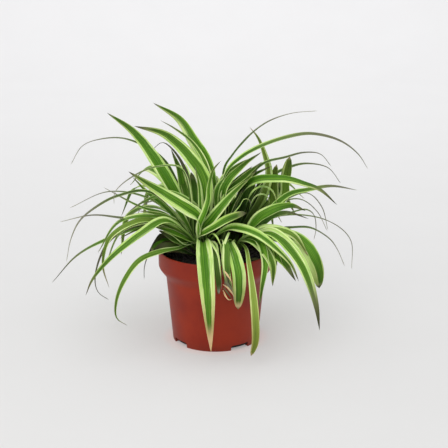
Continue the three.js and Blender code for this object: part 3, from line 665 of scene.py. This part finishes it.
def make_shoot(name, material):
    """A shoot's own piece: the leaves of the solid model, finer, on the same midribs."""
    draw = random.Random("shoot " + name)
    tips = node_points("shoot_" + name)
    mesh = Mesh()
    for form, turn, looks, *points in SHOOTS[name][1]:
        amount = found_bend(points, SIGHT, tips) or 0
        line = blade_line(name, bent(points, SIGHT, amount))
        looks = looks or drawn_looks(width_and_widest(form)[0], draw)
        add_blade(mesh, line, name, form, turn, looks, draw)
    for shoot, width, turn, points, sideways in extra_leaves():
        amount = found_bend(points, sideways, tips) if shoot == name else None
        if amount is not None:
            line = blade_line(name, bent(points, sideways, amount))
            add_blade(mesh, line, name, width, turn, drawn_looks(width, draw), draw)
    piece = mesh.build("leaves_" + name, material)
    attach(piece, "root")
    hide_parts("shoot_" + name)


def make_old_leaves(material):
    """The leaves that are on no shoot, in one piece."""
    draw = random.Random("old leaves")
    mesh = Mesh()
    for form, turn, looks, *points in OLD_LEAVES:
        add_blade(mesh, smooth_line(points), None, form, turn, looks, draw, OLD_WAVE)
    piece = mesh.build("old_leaves", material)
    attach(piece, "root")


class Graph:
    """A material's nodes, written as calls. An input may be another node's output or a plain value."""

    def __init__(self, name):
        self.material = bpy.data.materials.new(name)
        self.material.use_nodes = True
        self.nodes = self.material.node_tree.nodes
        self.links = self.material.node_tree.links
        self.shader = self.nodes["Principled BSDF"]

    def feed(self, socket, value):
        if isinstance(value, bpy.types.NodeSocket):
            self.links.new(value, socket)
        else:
            socket.default_value = value

    def add(self, kind, inputs, output=0, **settings):
        node = self.nodes.new("ShaderNode" + kind)
        for key, value in settings.items():
            setattr(node, key, value)
        for key, value in inputs.items():
            self.feed(node.inputs[key], value)
        return node.outputs[output]

    def math(self, operation, a, b=0.0):
        return self.add("Math", {0: a, 1: b}, operation=operation)

    def times(self, a, b):
        return self.math("MULTIPLY", a, b)

    def mix(self, a, b, share, **settings):
        return self.add("Mix", {0: share, 6: a, 7: b}, output=2, data_type="RGBA", **settings)

    def tint(self, colour, by, share):
        """The colour, multiplied by another as far as the share says."""
        by = self.mix((1.0, 1.0, 1.0, 1.0), by, share)
        return self.mix(colour, by, 1.0, blend_type="MULTIPLY")

    def layers(self, colour, *coats):
        """Coats over a colour, each a colour as rgb takes it and how far it covers what is under it."""
        for coat, share in coats:
            colour = self.mix(colour, rgb(*coat), share)
        return colour

    def ramp(self, value, low, high, most=1.0, least=0.0):
        """The value's way from low to high, smoothed, as a number from least to most."""
        inputs = {0: value, 1: low, 2: high, 3: least, 4: most}
        return self.add("MapRange", inputs, interpolation_type="SMOOTHSTEP")

    def noise(self, vector, scale, detail=3.0, roughness=0.5):
        inputs = {"Vector": vector, "Scale": scale, "Detail": detail, "Roughness": roughness}
        return self.add("TexNoise", inputs)

    def attribute(self, name):
        """The three numbers that a mesh keeps at its points under this name."""
        return self.parts(self.add("Attribute", {}, output="Vector", attribute_name=name))

    def parts(self, vector):
        node = self.nodes.new("ShaderNodeSeparateXYZ")
        self.links.new(vector, node.inputs[0])
        return node.outputs[:3]

    def place(self):
        return self.add("TexCoord", {}, output="Object")

    def vector(self, operation, a, b):
        return self.add("VectorMath", {0: a, 1: b}, operation=operation)

    def length(self, vector):
        return self.add("VectorMath", {0: vector}, output=1, operation="LENGTH")

    def radius(self, place):
        """The distance of a place from the pot's axis."""
        return self.length(self.vector("MULTIPLY", place, (1.0, 1.0, 0.0)))

    def inside(self, height, heights, radius, radii):
        """1 past the second height and the second radius, in millimetres, and 0 before the first ones."""
        by_height = self.ramp(height, heights[0] * MM, heights[1] * MM)
        return self.times(by_height, self.ramp(radius, radii[0] * MM, radii[1] * MM))

    def finish(self, inputs, height=None, distance=MM, strength=1.0):
        for name, value in inputs.items():
            self.feed(self.shader.inputs[name], value)
        if height is not None:
            bump = self.add("Bump", {"Strength": strength, "Distance": distance, "Height": height})
            self.links.new(bump, self.shader.inputs["Normal"])
        return self.material


def rgb(*levels):
    """A colour given as it shows on a screen, from 0 to 255, as Blender's linear one."""
    parts = [c / 255 for c in levels]
    return (*[p / 12.92 if p <= 0.04045 else ((p + 0.055) / 1.055) ** 2.4 for p in parts], 1.0)


def leaf_green(g, fine, broad, yellow, grey):
    """A blade's middle, streaked, yellowed with age, and greyed by age and by painted shade."""
    return g.layers(
        rgb(46, 96, 4),
        ((122, 172, 52), g.ramp(fine, 0.3, 0.7)),
        ((50, 108, 8), g.ramp(broad, 0.35, 0.7, 0.7)),
        ((138, 182, 48), g.ramp(fine, 0.56, 0.76, 0.6)),
        ((176, 184, 90), g.times(yellow, 0.8)),
        # Greyer and darker: partly age, partly painted shade on leaves that lie in shadow.
        ((60, 74, 34), g.times(grey, 0.75)),
    )


def leaf_pale(g, place, fine, broad, blotch):
    """A blade's margins, streaked, and creamier low in front of the pot, as a painted reflection of it."""
    low = g.inside(g.parts(place)[2], POT_REFLECTION_HEIGHTS, g.radius(place), POT_REFLECTION_RADII)
    return g.layers(
        rgb(176, 214, 102),
        ((234, 248, 182), g.ramp(broad, 0.3, 0.7)),
        ((140, 184, 74), g.ramp(fine, 0.46, 0.7, 0.7)),
        ((162, 202, 106), g.ramp(blotch, 0.5, 0.72, 0.65)),
        # Painted reflection of the pot: the margins creamier low in front of it.
        ((214, 188, 128), g.times(low, 0.6)),
    )


def leaf_withered(g, to_tip, half_width, dry, yellow, grey, tan):
    """A blade's dry end: brown, tan or grey, and faded towards the tip where the blade is thin."""
    faded = g.times(g.ramp(half_width, 4.6, 3.4), g.ramp(to_tip, 1.0, 0.0))
    return g.layers(
        rgb(70, 70, 44),
        ((122, 130, 82), g.ramp(to_tip, 0.1, 1.0)),
        ((216, 186, 138), g.math("MAXIMUM", yellow, tan)),
        ((52, 54, 38), g.times(grey, 0.5)),
        ((158, 156, 138), g.times(faded, g.math("LESS_THAN", dry, 1.0))),
    )


def leaf_material():
    g = Graph("leaf")
    across, along, far = g.attribute("leaf_place")
    under, half_width, seed = g.attribute("leaf_kind")
    low_edge, high_edge, tan = g.attribute("leaf_edges")
    dry, yellow, grey = g.attribute("leaf_tone")
    place = g.place()
    off_rib = g.math("ABSOLUTE", across)
    over = g.times(across, half_width)
    own = g.times(seed, 97.0)

    def stripes(scale_across, scale_along, detail, roughness=0.5):
        """Noise that runs along the blade, other on each."""
        spot = g.add("CombineXYZ", {0: g.times(over, scale_across), 1: g.times(far, scale_along), 2: own})
        return g.noise(spot, 1.0, detail, roughness)

    # Fine stripes run the whole length, and broader ones come and go.
    fine = stripes(2.4, 0.01, 3.0, 0.6)
    broad = stripes(0.8, 0.02, 2.0)
    blotch = stripes(0.12, 0.05, 3.0)
    green = leaf_green(g, fine, broad, yellow, grey)
    pale = leaf_pale(g, place, fine, broad, blotch)

    # A pale margin's inner edge wanders a little, and some streaks lie inside it.
    edge = g.add("MapRange", {0: g.math("GREATER_THAN", across, 0.0), 3: low_edge, 4: high_edge})
    wander = g.times(g.math("SUBTRACT", blotch, 0.5), 0.32)
    beyond = g.math("SUBTRACT", off_rib, g.math("ADD", edge, wander))
    colour = g.mix(green, pale, g.ramp(beyond, -0.04, 0.05))
    streak = g.times(g.ramp(broad, 0.6, 0.68), g.ramp(beyond, -0.4, -0.1))
    colour = g.mix(colour, pale, g.times(streak, g.ramp(grey, 1.0, 0.0, 0.5)))
    colour = g.mix(colour, rgb(52, 92, 18), g.ramp(off_rib, 0.07, 0.0, 0.5))

    # Paler where the blade leaves the shoot, and darkest just above, where painted shade darkens the leaf
    # bases deep in the clump; darker again and dry towards the tip.
    colour = g.mix(colour, rgb(120, 150, 62), g.ramp(along, 0.1, -0.05, 0.5))
    # Painted shade: darkest just above where the blade leaves the shoot.
    colour = g.tint(colour, rgb(128, 150, 108), g.ramp(along, 0.34, 0.08))
    colour = g.tint(colour, rgb(196, 190, 172), g.ramp(along, 0.6, 0.95))
    colour = g.mix(colour, rgb(112, 142, 66), g.times(under, 0.3))
    ragged = g.math("ADD", along, g.times(g.math("SUBTRACT", fine, 0.5), 0.03))
    to_tip = g.math("DIVIDE", g.math("SUBTRACT", 1.0, ragged), dry)
    withered = leaf_withered(g, to_tip, half_width, dry, yellow, grey, tan)
    colour = g.mix(colour, withered, g.ramp(to_tip, 1.4, 0.5))

    # Painted shade in the clump's middle, where little light falls.
    off = g.vector("SUBTRACT", place, tuple(v * MM for v in PAINTED_SHADE_CENTRE))
    off = g.vector("DIVIDE", off, tuple(v * MM for v in PAINTED_SHADE_REACH))
    colour = g.tint(colour, rgb(84, 104, 66), g.ramp(g.length(off), 1.0, 0.45, 0.8))

    ribs = g.math("SINE", g.times(over, 2 * math.pi / RIB_SPACING))
    height = g.math("ADD", g.times(ribs, 0.5), fine)
    inputs = {
        "Base Color": colour,
        "Roughness": g.ramp(fine, 0.2, 0.8, 0.58, 0.42),
        "Specular IOR Level": 0.16,
        "Subsurface Weight": 0.15,
        "Subsurface Radius": (0.6, 1.0, 0.2),
        "Subsurface Scale": 1.2 * MM,
    }
    return g.finish(inputs, height, distance=0.12 * MM, strength=0.6)


def pot_material():
    g = Graph("pot")
    place = g.place()
    spread = g.noise(place, 26.0, 4.0, 0.55)
    grain = g.noise(place, 900.0, 3.0, 0.6)
    scuffs = g.noise(g.add("Mapping", {"Vector": place, "Scale": (1.0, 1.0, 6.0)}), 70.0, 5.0, 0.7)
    height = g.parts(place)[2]
    # Peat's stain and painted shade make the pot's inside nearly black above the soil.
    ragged = g.math("ADD", height, g.times(g.math("SUBTRACT", spread, 0.5), 5 * MM))
    stain_and_shade = g.inside(ragged, STAIN_AND_SHADE_HEIGHTS, g.radius(place), STAIN_AND_SHADE_RADII)
    stain_and_shade = g.times(stain_and_shade, g.math("GREATER_THAN", height, (SHOULDER_TOP + 1) * MM))
    colour = g.layers(
        rgb(131, 31, 5),
        ((147, 41, 9), g.ramp(spread, 0.35, 0.65)),
        ((150, 70, 44), g.ramp(scuffs, 0.62, 0.8, 0.25)),
        ((100, 42, 26), g.ramp(height, 12 * MM, 0.0, 0.35)),
        ((18, 11, 8), g.times(stain_and_shade, 0.96)),
    )
    roughness = g.math("ADD", g.ramp(spread, 0.3, 0.7, 0.52, 0.42), g.ramp(scuffs, 0.55, 0.8, 0.15))
    inputs = {"Base Color": colour, "Roughness": roughness, "Specular IOR Level": 0.28}
    return g.finish(inputs, grain, distance=0.05 * MM, strength=0.3)


def soil_material():
    g = Graph("soil")
    place = g.place()
    crumbs = g.noise(place, 420.0, 5.0, 0.65)
    patches = g.noise(place, 60.0, 3.0)
    colour = g.layers(
        rgb(11, 7, 5),
        ((46, 32, 23), g.ramp(crumbs, 0.38, 0.75)),
        ((22, 15, 11), g.ramp(patches, 0.4, 0.65, 0.7)),
    )
    return g.finish({"Base Color": colour, "Roughness": 0.9}, crumbs, distance=0.8 * MM, strength=0.8)


def floor_material():
    g = Graph("floor")
    place = g.place()
    # Darker near the camera than at the back: painted shade where the light falls off.
    colour = g.mix(FLOOR_NEAR, FLOOR_FAR, g.ramp(g.parts(place)[1], -0.3, 2.2))
    colour = g.tint(colour, rgb(250, 250, 250), g.noise(place, 8.0))
    # A painted reflection of the pot's red on the floor around its foot.
    red_reflection = g.ramp(g.radius(place), RIM_RADIUS * MM, BASE_RADIUS * MM, 0.4)
    inputs = {
        "Base Color": g.mix(colour, POT_RED_REFLECTION, red_reflection),
        "Roughness": 0.8,
        "Specular IOR Level": 0.1,
        "Emission Color": (1.0, 1.0, 0.99, 1.0),
        "Emission Strength": FLOOR_GLOW,
    }
    return g.finish(inputs)


def rounded_corner(before, corner, after, radius):
    """Points that round one corner of an outline."""
    corner = np.array(corner, float)
    ways = [np.array(p, float) - corner for p in (before, after)]
    start, end = [corner + unit(way) * min(radius, np.linalg.norm(way) / 2) for way in ways]
    return list(curved(start, corner, end, CORNER_STEPS))


def revolved(profile, sides):
    """Points and faces of a solid of revolution, from (radius, height) points between two on the axis."""
    angles = np.linspace(0, 2 * math.pi, sides, endpoint=False)
    points = [(0, 0, profile[0][1])]
    for r, z in profile[1:-1]:
        points += [(r * math.cos(a), r * math.sin(a), z) for a in angles]
    points.append((0, 0, profile[-1][1]))
    top = len(points) - 1
    faces = [(0, 1 + (k + 1) % sides, 1 + k) for k in range(sides)]
    for i in range(len(profile) - 3):
        low, high = 1 + i * sides, 1 + (i + 1) * sides
        faces += [(low + k, low + (k + 1) % sides, high + (k + 1) % sides, high + k) for k in range(sides)]
    last = 1 + (len(profile) - 3) * sides
    faces += [(last + k, last + (k + 1) % sides, top) for k in range(sides)]
    return points, faces


def outer_radius(z):
    """The radius of the pot's outside at a height: its taper, and above that its step out to the rim."""
    if z < SHOULDER_FOOT:
        return mix(BASE_RADIUS, BODY_RADIUS, z / SHOULDER_FOOT)
    w = min(1, (z - SHOULDER_FOOT) / (SHOULDER_TOP - SHOULDER_FOOT))
    return mix(BODY_RADIUS, RIM_RADIUS, w * w * (3 - 2 * w))


def inner_radius(z):
    return outer_radius(z) - WALL


def soil_radius(z):
    return inner_radius(z - GAP) - GAP


def shoulder(radius_at):
    """The shoulder's points on one of these surfaces, from its foot to its top."""
    return [(radius_at(z), z) for z in np.linspace(SHOULDER_FOOT, SHOULDER_TOP, SHOULDER_STEPS + 1)]


def notch_cutter(angle):
    """The block that cuts one drainage notch, with rounded upper corners, at an angle from the front."""
    half = NOTCH_WIDTH / 2
    outline = [(-half, -CUTTER_BELOW), (half, -CUTTER_BELOW)]
    for sign, first in ((1, 0), (-1, math.pi / 2)):
        for k in range(CORNER_STEPS + 1):
            a = first + k / CORNER_STEPS * math.pi / 2
            centre = sign * (half - NOTCH_CORNER)
            height = NOTCH_HEIGHT + NOTCH_CORNER * (math.sin(a) - 1)
            outline.append((centre + NOTCH_CORNER * math.cos(a), height))
    count = len(outline)
    near = -BASE_RADIUS - NOTCH_OUTSIDE
    c, s = math.cos(math.radians(angle)), math.sin(math.radians(angle))
    points = [(x * c - y * s, x * s + y * c, z) for y in (near, near + NOTCH_REACH) for x, z in outline]
    sides = [(k, count + k, count + (k + 1) % count, (k + 1) % count) for k in range(count)]
    return points, [tuple(range(count)), tuple(reversed(range(count, 2 * count))), *sides]


def pot_profile():
    """The pot's outline, up its outside and down its inside. A third number rounds a corner."""
    corners = [
        (0, 0),
        (BASE_RADIUS, 0, FOOT_ROUND),
        (outer_radius(NOTCH_HEIGHT + RING_ABOVE), NOTCH_HEIGHT + RING_ABOVE),
        *shoulder(outer_radius),
        (RIM_RADIUS, RIM_HEIGHT, RIM_ROUND[0]),
        (inner_radius(RIM_HEIGHT), RIM_HEIGHT, RIM_ROUND[1]),
        *reversed(shoulder(inner_radius)),
        (inner_radius(FLOOR), FLOOR, FLOOR_ROUND),
        (0, FLOOR),
    ]
    profile = [corners[0]]
    for before, corner, after in zip(corners, corners[1:], corners[2:]):
        if len(corner) == 3:
            profile += rounded_corner(before[:2], corner[:2], after[:2], corner[2])
        else:
            profile.append(corner)
    return [*profile, corners[-1]]


def applied(piece):
    """Puts the result of a piece's modifiers into its mesh."""
    bpy.context.view_layer.update()
    made = bpy.data.meshes.new_from_object(piece.evaluated_get(bpy.context.evaluated_depsgraph_get()))
    piece.modifiers.clear()
    piece.data = made


def make_pot(material):
    pot = mesh_object("nursery_pot", *revolved(pot_profile(), POT_SIDES), material)
    for angle in NOTCH_ANGLES:
        cutter = mesh_object("notch", *notch_cutter(angle), material)
        cut = pot.modifiers.new("notch", "BOOLEAN")
        cut.operation = "DIFFERENCE"
        cut.solver = "EXACT"
        cut.object = cutter
        applied(pot)
        bpy.data.objects.remove(cutter)
    pot.data.set_sharp_from_angle(angle=math.radians(SHARP_ANGLE))
    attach(pot, "root")
    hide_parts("pot")


def soil_height(x, y):
    share = math.hypot(x, y) / soil_radius(SOIL_HEIGHT)
    z = SOIL_HEIGHT + SOIL_MOUND * (1 - share**2)
    for height, along, phase in LUMPS:
        z += height * math.sin(x * along[0] + phase[0]) * math.sin(y * along[1] + phase[1])
    return z + UNEVEN_HEIGHT * noise.fractal(Vector((x, y, 0)) * UNEVEN_SCALE, 1.0, 2.0, 4)


def ball():
    """The points and faces of a small round solid, for crumbs."""
    shape = bmesh.new()
    bmesh.ops.create_icosphere(shape, subdivisions=2, radius=1)
    points = np.array([v.co for v in shape.verts])
    faces = [tuple(v.index for v in f.verts) for f in shape.faces]
    shape.free()
    return points, faces


def crumb(shape, draw):
    """The points of one crumb on the soil: a ball that is dented, stretched and turned."""
    size = mix(*CRUMB_SIZE, draw.random() ** 3)
    r = (soil_radius(SOIL_HEIGHT) - size) * math.sqrt(draw.random())
    a = draw.uniform(0, 2 * math.pi)
    x, y = r * math.cos(a), r * math.sin(a)
    stretch = np.array([draw.uniform(*CRUMB_STRETCH) for _ in range(3)]) * size
    shift = Vector([draw.uniform(-50, 50) for _ in range(3)])
    rough = np.array([1 + CRUMB_DENTS * noise.noise(Vector(p) * 1.6 + shift) for p in shape])
    turn = np.array(Vector([draw.uniform(-1, 1) for _ in range(3)]).to_track_quat("Z", "Y").to_matrix())
    return (shape * rough[:, None] * stretch) @ turn.T + [x, y, soil_height(x, y) + CRUMB_STANDS * size]


def make_soil(material):
    rim = soil_radius(SOIL_HEIGHT)
    foot = FLOOR + GAP
    profile = [(0, foot), (soil_radius(foot), foot), *shoulder(soil_radius)]
    profile += [(rim * (1 - k / SOIL_RINGS), SOIL_HEIGHT) for k in range(SOIL_RINGS + 1)]
    points, faces = revolved(profile, SOIL_SIDES)
    points = [(x, y, soil_height(x, y) if z > SHOULDER_TOP + 1 else z) for x, y, z in points]
    draw = random.Random("crumbs")
    shape, shape_faces = ball()
    for _ in range(CRUMBS):
        start = len(points)
        points += [tuple(p) for p in crumb(shape, draw)]
        faces += [tuple(start + k for k in face) for face in shape_faces]
    soil = mesh_object("peat", points, faces, material)
    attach(soil, "root")
    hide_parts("soil")


def make_floor(material):
    """A pale floor that curves up into a backdrop behind the plant."""
    wide, near, far, bend, tall = 4000, -2500, 1500, 900, 3200
    line = [(near, 0), (far, 0)]
    line += [(far + bend * math.sin(a), bend * (1 - math.cos(a))) for a in np.linspace(0.06, math.pi / 2, 24)]
    line.append((far + bend, tall))
    points = [(x, y, z) for y, z in line for x in (-wide, wide)]
    faces = [(2 * k, 2 * k + 1, 2 * k + 3, 2 * k + 2) for k in range(len(line) - 1)]
    floor = mesh_object("floor", points, faces, material)


def add_light(name, place, aim, size, power, colour=(1, 1, 1)):
    light = bpy.data.lights.new(name, "AREA")
    light.shape = "DISK"
    light.size = size * MM
    light.energy = power
    light.color = colour
    lamp = linked(name, light)
    lamp.location = Vector(place) * MM
    lamp.rotation_euler = (Vector(aim) - Vector(place)).to_track_quat("-Z", "Y").to_euler()


def make_lights():
    """A large soft light from the front left, one overhead, one on the backdrop, and an even sky."""
    add_light("key", (-500, -1300, 1300), (0, 0, 120), 1300, 11, (1.0, 0.985, 0.96))
    add_light("top", (150, -100, 1900), (0, 0, 100), 1500, 5)
    add_light("backdrop", (0, 1100, 1700), (0, 2600, 500), 1600, 8.6, (0.96, 0.955, 1.0))
    world = bpy.data.worlds.new("sky")
    world.use_nodes = True
    background = world.node_tree.nodes["Background"]
    background.inputs["Color"].default_value = (0.985, 0.98, 1.0, 1.0)
    background.inputs["Strength"].default_value = 0.8
    bpy.context.scene.world = world
    bpy.context.scene.view_settings.view_transform = "Standard"


def make_camera():
    """The photograph's view: aimed at the leaves' middle, looking a little down."""
    tilt = math.radians(ELEVATION)
    back = Vector((0, -math.cos(tilt), math.sin(tilt)))
    lens = bpy.data.cameras.new("camera")
    lens.sensor_width = SENSOR
    lens.lens = SENSOR * FOCAL / PICTURE
    camera = linked("camera", lens)
    camera.location = (Vector(TARGET) + back * DISTANCE) * MM
    camera.rotation_euler = (-back).to_track_quat("-Z", "Y").to_euler()
    bpy.context.scene.camera = camera


make_camera()
leaf = leaf_material()
for shoot_name in SHOOTS:
    make_shoot(shoot_name, leaf)
make_old_leaves(leaf)
make_pot(pot_material())
make_soil(soil_material())
make_floor(floor_material())
make_lights()
